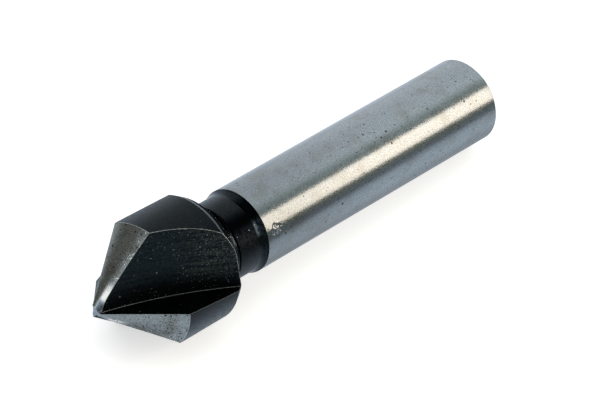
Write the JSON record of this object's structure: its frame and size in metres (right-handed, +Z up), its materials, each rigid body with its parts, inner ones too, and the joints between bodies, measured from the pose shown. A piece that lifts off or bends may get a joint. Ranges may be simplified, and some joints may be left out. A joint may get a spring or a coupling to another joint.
{
  "type": "countersink bit",
  "caption": "Straight-shank 90 degree countersink bit with wheel-ground flutes, relieved conical cutting edges and a plain round shank.",
  "frame": {"origin": "centre of the bounding box, on the floor the bit lies on", "axes": "+X runs from the point to the end of the shank, +Z is up; the bit's own axis dips 2.2 degrees towards the shank's end, as it comes to rest on two corners of its head and the rim of its shank"},
  "size_m": [0.0602, 0.0148, 0.0145],
  "materials": {
    "high_speed_steel": "satin"
  },
  "bodies": {
    "root": {"countersink_bit": "high_speed_steel"}
  },
  "joints": []
}
